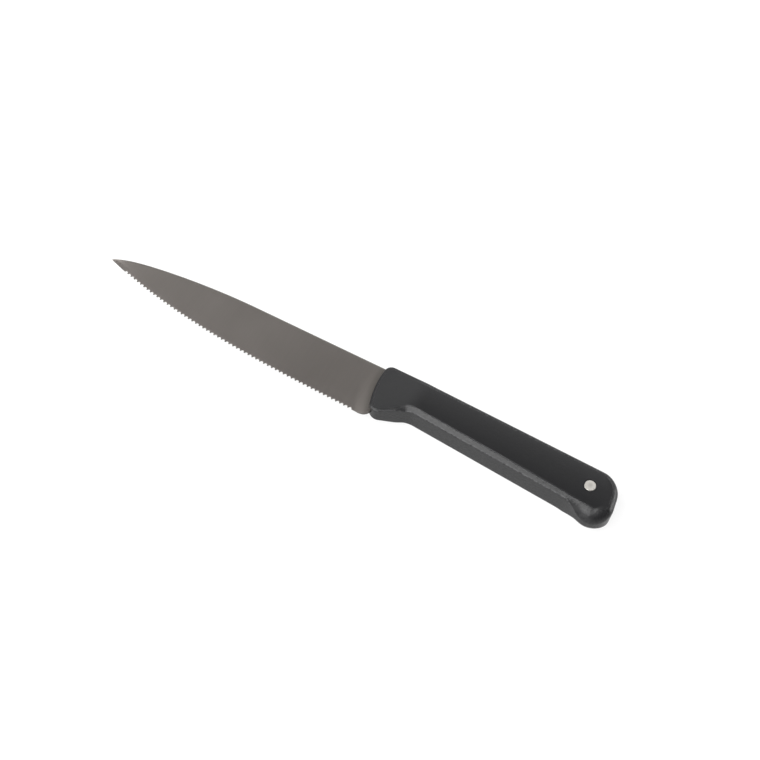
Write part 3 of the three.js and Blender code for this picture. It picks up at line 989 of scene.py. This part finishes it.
@dataclass
class Blade(Piece):
    """The ground, serrated and coated blade, with the tang that the handle hides."""

    wear_and_highlight_radius: float = 0.15
    length: float = 126.5
    spine_y: float = -0.15
    height: float = 23.55
    thickness: float = 1.6
    spine_slope: float = 0.0205
    spine_bend_length: float = 66.0
    spine_bend_drop: float = 6.9
    spine_tip_drop: float = 1.85
    spine_tip_power: int = 12
    edge_bend_length: float = 106.0
    edge_square_share: float = 0.6
    tip_height: float = 0.3
    spine_tip_thickness: float = 1.0
    point_share: float = 0.1  # the back thins to a fine point over the last few millimetres
    point_taper: float = 9.0
    shoulder_thickness: float = 0.4
    sharpened_height: float = 1.7
    sharpened_share: float = 0.6
    edge_thickness: float = 0.26
    heel_strip: float = 3.2
    plunge: float = 4.0  # half the length of the soft step from the ground face to the heel strip
    heel_radius: float = 4.8
    insert: float = 3.0
    tooth_pitch: float = 1.905
    notch_width: float = 1.48
    notch_depth: float = 0.7
    serration_start: float = 8.9
    serration_end: float = 3.6
    scallop_slope: float = 3.0  # the notches are ground from the upper side at this slope
    tang_y: float = -8.4
    tang_height: float = 11.0
    tang_end_height: float = 8.0
    tang_neck: float = 1.0  # its full height goes on this far behind the heel
    tang_turns: tuple[float, ...] = (0, 25, 45, 60, 75, 85)  # degrees round its end
    tang_hole: float = 5.0
    tang_hole_count: int = 3
    tang_hole_spacing: float = 24.0
    tang_first_hole: float = 20.0
    rivet_hole: float = 3.9
    spine_rounding: float = 0.18
    spine_segments: int = 3
    # painted shade on the steel next to the handle: how far it reaches and how dark it gets
    handle_shade_reach: float = 3.4
    handle_shade_share: float = 0.5
    edge_samples: int = 3000
    notch_steps: int = 12
    plain_step: float = 0.5
    heel_steps: int = 36
    low_rows: tuple[float, ...] = (0, 0.06, 0.13, 0.21, 0.3, 0.4, 0.52, 0.66, 0.82)
    face_rows: tuple[float, ...] = (0, 0.05, 0.12, 0.22, 0.34, 0.46, 0.58, 0.7, 0.81, 0.9, 0.96, 1)
    table: list[tuple[float, Vector]] = field(init=False)
    notch_radius: float = field(init=False)
    notch_centres: dict[int, Vector] = field(init=False)

    def __post_init__(self) -> None:
        """Measures the cutting edge and finds the circles that its notches are ground on."""
        self.table = self.edge_table()
        self.notch_radius = (self.notch_width**2 / 4 + self.notch_depth**2) / (2 * self.notch_depth)
        self.notch_centres = {}
        for i, place in enumerate(self.notch_places()):
            at, inward = self.on_edge(place)
            self.notch_centres[i] = at - inward * (self.notch_radius - self.notch_depth)

    @property
    def edge_level(self) -> float:
        """Height of the straight part of the cutting edge."""
        return self.spine_y - self.height

    @property
    def heel_x(self) -> float:
        """Where the heel's rounding ends, in line with the handle's front edge."""
        return self.shape.front_x(self.edge_level)

    def back_y(self, x: float) -> float:
        """Returns the height of the back edge."""
        bend = max(0.0, 1 - (x + self.length) / self.spine_bend_length)
        drop = self.spine_bend_drop * bend**2 + self.spine_tip_drop * bend**self.spine_tip_power
        return self.spine_y + self.spine_slope * x - drop

    def edge_y(self, x: float) -> float:
        """Returns the height of the cutting edge before it is notched."""
        rise = self.back_y(-self.length) - self.tip_height - self.edge_level
        bend = max(0.0, 1 - (x + self.length) / self.edge_bend_length)
        return self.edge_level + rise * lerp(bend**4, bend**2, self.edge_square_share)

    def edge_table(self) -> list[tuple[float, Vector]]:
        """Returns points along the cutting edge with their distance from the tip."""
        xs = [lerp(-self.length, 0, i / self.edge_samples) for i in range(self.edge_samples + 1)]
        points = [Vector((x, self.edge_y(x))) for x in xs]
        table = [(0.0, points[0])]
        for a, b in zip(points, points[1:]):
            table.append((table[-1][0] + (b - a).length, b))
        return table

    def on_edge(self, distance: float) -> tuple[Vector, Vector]:
        """Returns the edge's point at a distance from the tip, and the direction into the blade."""
        low, high = 0, len(self.table) - 1
        while high - low > 1:
            middle = (low + high) // 2
            low, high = (middle, high) if self.table[middle][0] <= distance else (low, middle)
        (start, a), (end, b) = self.table[low], self.table[high]
        along = (b - a).normalized()
        return a.lerp(b, (distance - start) / (end - start)), Vector((-along.y, along.x))

    def notch_places(self) -> list[float]:
        """Returns each notch's distance from the tip, along the edge."""
        room = self.table[-1][0] - self.serration_start - self.serration_end
        count = math.floor(room / self.tooth_pitch) + 1
        return [self.serration_start + i * self.tooth_pitch for i in range(count)]

    def columns(self) -> list[tuple[Vector, Vector]]:
        """Returns the lower and upper end of each column of the blade's face, from tip to heel."""
        notches = self.notch_places()
        half = self.notch_width / 2
        plain = math.ceil((notches[0] - half) / self.plain_step)
        distances = [(notches[0] - half) * i / plain for i in range(plain)]
        for place in notches:
            steps = range(self.notch_steps + 1)
            distances += [place + half * (2 * k / self.notch_steps - 1) for k in steps]
            distances.append(place + self.tooth_pitch / 2)
        result = []
        for distance in distances:
            at, inward = self.on_edge(distance)
            low = at + inward * self.notch_cut(distance, notches)
            result.append((low, Vector((at.x, self.back_y(at.x)))))
        return result + self.heel_columns(result[-1])

    def notch_cut(self, distance: float, notches: Sequence[float]) -> float:
        """Returns how deep the serration is at a distance from the tip."""
        offset = min(abs(distance - place) for place in notches)
        arc = math.sqrt(max(0.0, self.notch_radius**2 - offset**2))
        return max(0.0, arc - self.notch_radius + self.notch_depth)

    def heel_columns(self, last: tuple[Vector, Vector]) -> list[tuple[Vector, Vector]]:
        """Returns the columns from the last tooth, round the heel and into the handle."""
        turn = Vector((self.heel_x - self.heel_radius, self.edge_level + self.heel_radius))
        straight = turn.x - last[0].x
        total = straight + self.heel_radius * math.pi / 2
        result = []
        for i in range(1, self.heel_steps + 1):
            way = total * i / self.heel_steps
            angle = max(0.0, way - straight) / self.heel_radius
            low = Vector((last[0].x + way, self.edge_level))
            if angle > 0:
                low = turn + self.heel_radius * Vector((math.sin(angle), -math.cos(angle)))
            x = lerp(last[1].x, self.insert, i / self.heel_steps)
            result.append((low, Vector((x, self.back_y(min(x, 0.0))))))
        return result

    def half_at(self, at: Vector) -> float:
        """Returns half the blade's thickness, without the serration, at a place."""
        top, low = self.back_y(at.x), self.edge_y(at.x)
        bevel = min(self.sharpened_height, (top - low) * self.sharpened_share)
        from_tip = at.x + self.length
        along = clamp(from_tip / (self.length - self.heel_strip))
        back = lerp(self.spine_tip_thickness, self.thickness, along) / 2
        back *= lerp(self.point_share, 1, smoothstep(from_tip, -self.point_taper, self.point_taper))
        shoulder = min(self.shoulder_thickness / 2, back)
        rise = (at.y - low - bevel) / (top - low - bevel)
        ground = lerp(shoulder, back, clamp(rise))
        if rise < 0:
            ground = lerp(self.edge_thickness / 2, shoulder, clamp((at.y - low) / bevel))
        strip = at.x - self.shape.front_x(at.y) + self.heel_strip
        return lerp(ground, self.thickness / 2, smoothstep(strip, -self.plunge, self.plunge))

    def upper_z(self, at: Vector, distance: float) -> float:
        """Returns the upper face's height, with the scallop that its nearest notch is ground with."""
        half = self.half_at(at)
        centre = self.notch_centres.get(round((distance - self.serration_start) / self.tooth_pitch))
        if centre is None:
            return half
        reach = (at - centre).length - self.notch_radius
        return min(half, reach * self.scallop_slope + self.edge_thickness - half)

    def face_grid(self) -> list[list[Vector]]:
        """Returns the points of the blade's face, column by column from the edge to the back."""
        grid = []
        for low, top in self.columns():
            edge = self.edge_y(min(low.x, 0.0))
            bevel = min(self.sharpened_height, (top.y - edge) * self.sharpened_share)
            shoulder = Vector((low.x, max(low.y, edge) + bevel))
            column = [low.lerp(shoulder, share) for share in self.low_rows]
            column += [shoulder.lerp(top, share) for share in self.face_rows]
            grid.append(column)
        return grid

    def build(self) -> bpy.types.Object:
        """Lays a grid over the blade, gives it its thickness, rounds the back and adds the tang."""
        grid = self.face_grid()
        columns, rows = len(grid), len(grid[0])
        bpy.ops.mesh.primitive_grid_add(x_subdivisions=columns - 1, y_subdivisions=rows - 1, size=1)
        blade = name_new("serrated_blade")

        def place(side: Side) -> Callable[[int], Vector]:
            """Returns what places a numbered point on one face of the blade."""
            def at(index: int) -> Vector:
                """Returns the place of a numbered point."""
                point = grid[index % columns][index // columns]
                if side is Side.LOWER:
                    return Vector((point.x, point.y, -self.half_at(point)))
                return Vector((point.x, point.y, self.upper_z(point, self.distance_near(point))))
            return at

        with editing(blade):
            number_grid(blade, columns - 1, rows - 1)
            place_selected(blade, place(Side.LOWER))
            bpy.ops.mesh.extrude_region_move()
            place_selected(blade, place(Side.UPPER))
            last_row = (rows - 1) * columns
            select_where(blade, "EDGE", lambda edge, layer: all(v[layer] >= last_row for v in edge.verts)
                         and edge.verts[0].co.z * edge.verts[1].co.z > 0)
            bpy.ops.mesh.bevel(offset=self.spine_rounding, segments=self.spine_segments, affect="EDGES")
            self.extrude_tang(blade, columns)
        cut_away(blade, self.hole_cutters())
        # painted shade on the steel next to the handle
        mark_points(blade, HANDLE_SHADE, self.handle_shade)
        return self.finish(blade, CoatedSteel().material())

    def handle_shade(self, vert: bmesh.types.BMVert) -> float:
        """Returns a point's share of painted shade, darkest next to the handle."""
        away = self.shape.front_x(vert.co.y) - vert.co.x
        return self.handle_shade_share * (1 - smoothstep(away, 0, self.handle_shade_reach))

    def distance_near(self, at: Vector) -> float:
        """Returns the distance from the tip, along the edge, of the edge's point at a place."""
        share = clamp((at.x + self.length) / self.length)
        return self.table[round(share * self.edge_samples)][0]

    def extrude_tang(self, blade: bpy.types.Object, columns: int) -> None:
        """Extrudes the tang from the rear end of the blade, tapered and rounded."""
        tops = self.tang_y + self.tang_height / 2, self.tang_y - self.tang_height / 2
        select_where(blade, "FACE", lambda face, layer: (
            all(v[layer] % columns == columns - 1 for v in face.verts)
            and tops[1] < face.calc_center_median().y < tops[0]))
        end = self.shape.rivet_x + self.tang_end_height / 2
        radius = self.tang_end_height / 2
        here, height = self.heel_x, self.tang_height
        stops = [(here + self.tang_neck, self.tang_height)]
        for angle in self.tang_turns:
            turn = math.radians(angle)
            stops.append((end - radius * (1 - math.sin(turn)), self.tang_end_height * math.cos(turn)))
        for x, tall in stops:
            bpy.ops.mesh.extrude_region_move(TRANSFORM_OT_translate={"value": (x - here, 0, 0)})
            centre = (x, self.tang_y, 0)
            bpy.ops.transform.resize(value=(0, tall / height, 1), center_override=centre)
            here, height = x, tall

    def hole_cutters(self) -> list[bpy.types.Object]:
        """Returns what cuts the tang's locking holes and the rivet's hole."""
        depth = self.thickness * 2
        xs = [self.tang_first_hole + i * self.tang_hole_spacing for i in range(self.tang_hole_count)]
        holes = [round_cutter(Vector((x, self.tang_y, 0)), self.tang_hole / 2, depth) for x in xs]
        axis = Vector((self.shape.rivet_x, self.shape.rivet_y, 0))
        rivet = round_cutter(axis, self.rivet_hole / 2, depth)
        return [*holes, rivet]

    def heel_space(self, fit: float) -> bpy.types.Object:
        """Returns a cutter for the slot that the blade's heel enters the handle by."""
        half = self.thickness / 2 + fit
        low = Vector((-self.heel_radius * 2, self.edge_level - fit, -half))
        high = Vector((self.heel_x + fit, self.back_y(0) + fit, half))
        cutter = block_cutter(low, high)
        with editing(cutter):
            select_where(cutter, "EDGE", lambda edge, _: all(
                v.co.x > 0 and v.co.y < self.tang_y for v in edge.verts))
            bpy.ops.mesh.bevel(offset=self.heel_radius, segments=self.heel_steps, affect="EDGES")
        return cutter

    def tang_space(self, fit: float) -> bpy.types.Object:
        """Returns a cutter for the space that the tang fills inside the core."""
        tall, half = self.tang_height / 2 + fit, self.thickness / 2 + fit
        end = self.shape.rivet_x + self.tang_end_height / 2 + fit
        return block_cutter(Vector((0, self.tang_y - tall, -half)), Vector((end, self.tang_y + tall, half)))


@dataclass
class Rivet(Piece):
    """One half of the rivet near the butt: a faced head on a post or on a tube."""

    wear_and_highlight_radius: float = 0.2
    side: Side = Side.UPPER
    head: float = 4.8
    head_thickness: float = 1.4
    shank: float = 2.2
    recess: float = 0.05
    chamfer: float = 0.16
    bore: float = 0.0
    clearance: float = 0.15
    face_rings: tuple[float, ...] = (0.35, 0.6, 0.6)  # widths of the rings that make up the face
    points: int = 96

    @property
    def axis(self) -> Vector:
        """The middle of the rivet."""
        return Vector((self.shape.rivet_x, self.shape.rivet_y, 0))

    @property
    def shoulder(self) -> float:
        """Height of the head's underside."""
        return self.shape.half - self.recess - self.head_thickness

    def space(self) -> list[bpy.types.Object]:
        """Returns what cuts the stepped hole for this half: its head and its shank."""
        depth = 2 * (self.shape.half - self.shoulder + self.clearance)
        high = self.axis + UP * self.shape.half * self.side.value
        head = round_cutter(high, self.head / 2 + self.clearance, depth)
        return [head, round_cutter(self.axis, self.shank / 2 + self.clearance, self.shape.thickness)]

    def build(self, steel: bpy.types.Material) -> bpy.types.Object:
        """Extrudes the rivet half from a disc: face, chamfer, head and shank."""
        axis, shoulder = self.axis, self.shoulder
        face = self.shape.half - self.recess
        radius = self.head / 2
        foot = -shoulder + self.clearance
        profile = [
            (radius - self.chamfer, face), (radius, face - self.chamfer), (radius, shoulder),
            (self.shank / 2, shoulder), (self.shank / 2, foot)]
        if self.bore:
            profile += [(self.bore / 2, foot), (self.bore / 2, shoulder)]
        bpy.ops.mesh.primitive_circle_add(
            vertices=self.points, radius=profile[0][0], fill_type="NGON",
            location=axis + UP * profile[0][1])
        bpy.ops.object.transform_apply()
        half = name_new("rivet_post_half" if self.side is Side.UPPER else "rivet_socket_half")
        with editing(half):
            bpy.ops.mesh.select_all(action="SELECT")
            for ring in self.face_rings:
                bpy.ops.mesh.inset(thickness=ring)
            select_where(half, "EDGE", lambda edge, _: edge.is_boundary)
            for (before, low), (after, high) in zip(profile, profile[1:]):
                bpy.ops.mesh.extrude_region_move(TRANSFORM_OT_translate={"value": (0, 0, high - low)})
                centre = (axis.x, axis.y, high)
                bpy.ops.transform.resize(value=(after / before, after / before, 1), center_override=centre)
            bpy.ops.mesh.edge_face_add()
            if self.side is Side.LOWER:
                bpy.ops.mesh.select_all(action="SELECT")
                bpy.ops.transform.resize(value=(1, 1, -1), center_override=(0, 0, 0))
        return self.finish(half, steel)


# The studio


def direction(azimuth: float, elevation: float) -> Vector:
    """Returns the direction with an azimuth, in degrees from -Y towards +X, and an elevation."""
    turn, rise = math.radians(azimuth), math.radians(elevation)
    return Vector((math.sin(turn) * math.cos(rise), -math.cos(turn) * math.cos(rise), math.sin(rise)))


@dataclass(frozen=True)
class Panel:
    """A soft light panel, aimed at the knife."""

    name: str
    azimuth: float
    elevation: float
    distance: float
    width: float
    height: float
    radiance: float

    def build(self, target: Vector) -> None:
        """Hangs the panel round a target."""
        away = direction(self.azimuth, self.elevation)
        bpy.ops.object.light_add(type="AREA", location=target + away * self.distance)
        lamp = bpy.context.view_layer.objects.active
        lamp.name = self.name
        lamp.rotation_euler = away.to_track_quat("Z", "Y").to_euler()
        lamp.data.shape = "RECTANGLE"
        lamp.data.size = self.width
        lamp.data.size_y = self.height
        lamp.data.energy = PANEL_WATTS * self.width * self.height * self.radiance
        lamp.visible_camera = False


@dataclass
class Studio:
    """White floor, soft panels, a pale surrounding and the camera."""

    datum: Datum
    aim: Vector = field(default_factory=lambda: Vector((0, -5.65, 0.3)))
    azimuth: float = 20.503
    elevation: float = 59.505
    roll: float = 8.834
    distance: float = 616.1
    lens: float = 70.64
    floor_size: float = 12.0
    floor_white: float = 0.86  # share of plain white in the floor, the rest takes the shadow
    paper: str = "#F4F4F4"
    white: str = "#FFFFFF"
    sky: str = "#3C3C3C"
    sky_range: tuple[float, float] = (0.02, 0.14)  # upward part of a direction, from white to the sky
    clip_start: float = 0.01
    panels: tuple[Panel, ...] = (
        Panel("front_panel", -44, 53, 1.2, 1.6, 1.0, 6.4),
        Panel("low_panel", -8, 11, 1.4, 1.1, 0.45, 2.0),
        Panel("back_panel", -168, 37, 1.4, 2.6, 1.13, 1.5),
        Panel("right_panel", 122, 11, 1.4, 0.9, 0.5, 5.6),
        Panel("left_panel", -78, 20, 1.4, 0.6, 0.5, 3.4),
    )

    def build(self) -> None:
        """Sets up the floor, the lights, the surrounding and the camera."""
        target = self.datum.origin + self.aim * MM
        self.floor()
        self.surrounding()
        for panel in self.panels:
            panel.build(target)
        self.camera(target)
        bpy.context.scene.view_settings.view_transform = "Standard"

    def floor(self) -> None:
        """Lays the white floor, which keeps the knife's shadow."""
        bpy.ops.mesh.primitive_plane_add(size=self.floor_size)
        floor = name_new("floor")
        material, tree = new_tree("white_paper")
        path = add_node(tree, "ShaderNodeLightPath")
        seen = add_node(tree, "ShaderNodeMath", {
            0: path.outputs["Is Camera Ray"], 1: path.outputs["Is Glossy Ray"]}, operation="MAXIMUM")
        shown = add_node(tree, "ShaderNodeMath", {
            0: seen.outputs["Value"], 1: path.outputs["Is Transmission Ray"]}, operation="MAXIMUM")
        share = add_node(tree, "ShaderNodeMath", {0: shown.outputs["Value"], 1: self.floor_white},
                         operation="MULTIPLY")
        paper = add_node(tree, "ShaderNodeBsdfDiffuse", {"Color": linear(self.paper)})
        white = add_node(tree, "ShaderNodeEmission", {"Color": linear(self.white), "Strength": 1.0})
        mixed = add_node(tree, "ShaderNodeMixShader", {
            0: share.outputs["Value"], 1: paper.outputs["BSDF"], 2: white.outputs["Emission"]})
        add_node(tree, "ShaderNodeOutputMaterial", {"Surface": mixed.outputs["Shader"]})
        floor.data.materials.append(material)

    def surrounding(self) -> None:
        """Fills the surrounding with a white horizon that fades into a grey sky."""
        world = bpy.data.worlds.new("studio_surrounding")
        world.use_nodes = True
        bpy.context.scene.world = world
        tree = world.node_tree
        tree.nodes.clear()
        direction = add_node(tree, "ShaderNodeTexCoord").outputs["Generated"]
        parts = add_node(tree, "ShaderNodeSeparateXYZ", {"Vector": direction})
        rise = map_range(tree, parts.outputs["Z"], self.sky_range, interpolation_type="SMOOTHSTEP")
        colour = mix_colours(tree, rise, self.white, self.sky)
        glow = add_node(tree, "ShaderNodeBackground", {"Color": colour, "Strength": 1.0})
        add_node(tree, "ShaderNodeOutputWorld", {"Surface": glow.outputs["Background"]})

    def camera(self, target: Vector) -> None:
        """Sets the camera at the photograph's viewing angle."""
        back = direction(self.azimuth, self.elevation)
        level = direction(self.azimuth + 90, 0)
        right = Matrix.Rotation(math.radians(self.roll), 3, back) @ level
        bpy.ops.object.camera_add(location=target + back * self.distance * MM)
        camera = bpy.context.view_layer.objects.active
        camera.name = "camera"
        camera.rotation_euler = Matrix((right, back.cross(right), back)).transposed().to_euler()
        camera.data.lens = self.lens
        camera.data.clip_start = self.clip_start
        bpy.context.scene.camera = camera


def main() -> None:
    """Builds the knife's pieces in order, then the studio."""
    logging.basicConfig(level=logging.INFO, format="%(name)s %(message)s")
    bpy.ops.object.select_all(action="DESELECT")
    datum = Datum.from_frame()
    shape = HandleShape(thickness=datum.thickness)
    blade = Blade(datum, "blade", Slot.BLADE, shape, length=datum.blade_length)
    post = Rivet(datum, "rivet_post", Slot.RIVET, shape)
    socket = Rivet(datum, "rivet_socket", Slot.RIVET, shape, side=Side.LOWER, shank=3.6, bore=2.5)
    steel = TurnedSteel().material(datum.origin + post.axis * MM)
    blade.build()
    core = HandleCore(datum, "handle_core", Slot.CORE, shape)
    core.build([blade.heel_space(FIT), blade.tang_space(FIT), *post.space(), *socket.space()])
    GripRim(datum, "grip_rim", Slot.RIM, shape).build([blade.heel_space(FIT)])
    post.build(steel)
    socket.build(steel)
    Studio(datum).build()


if __name__ == "__main__":
    main()
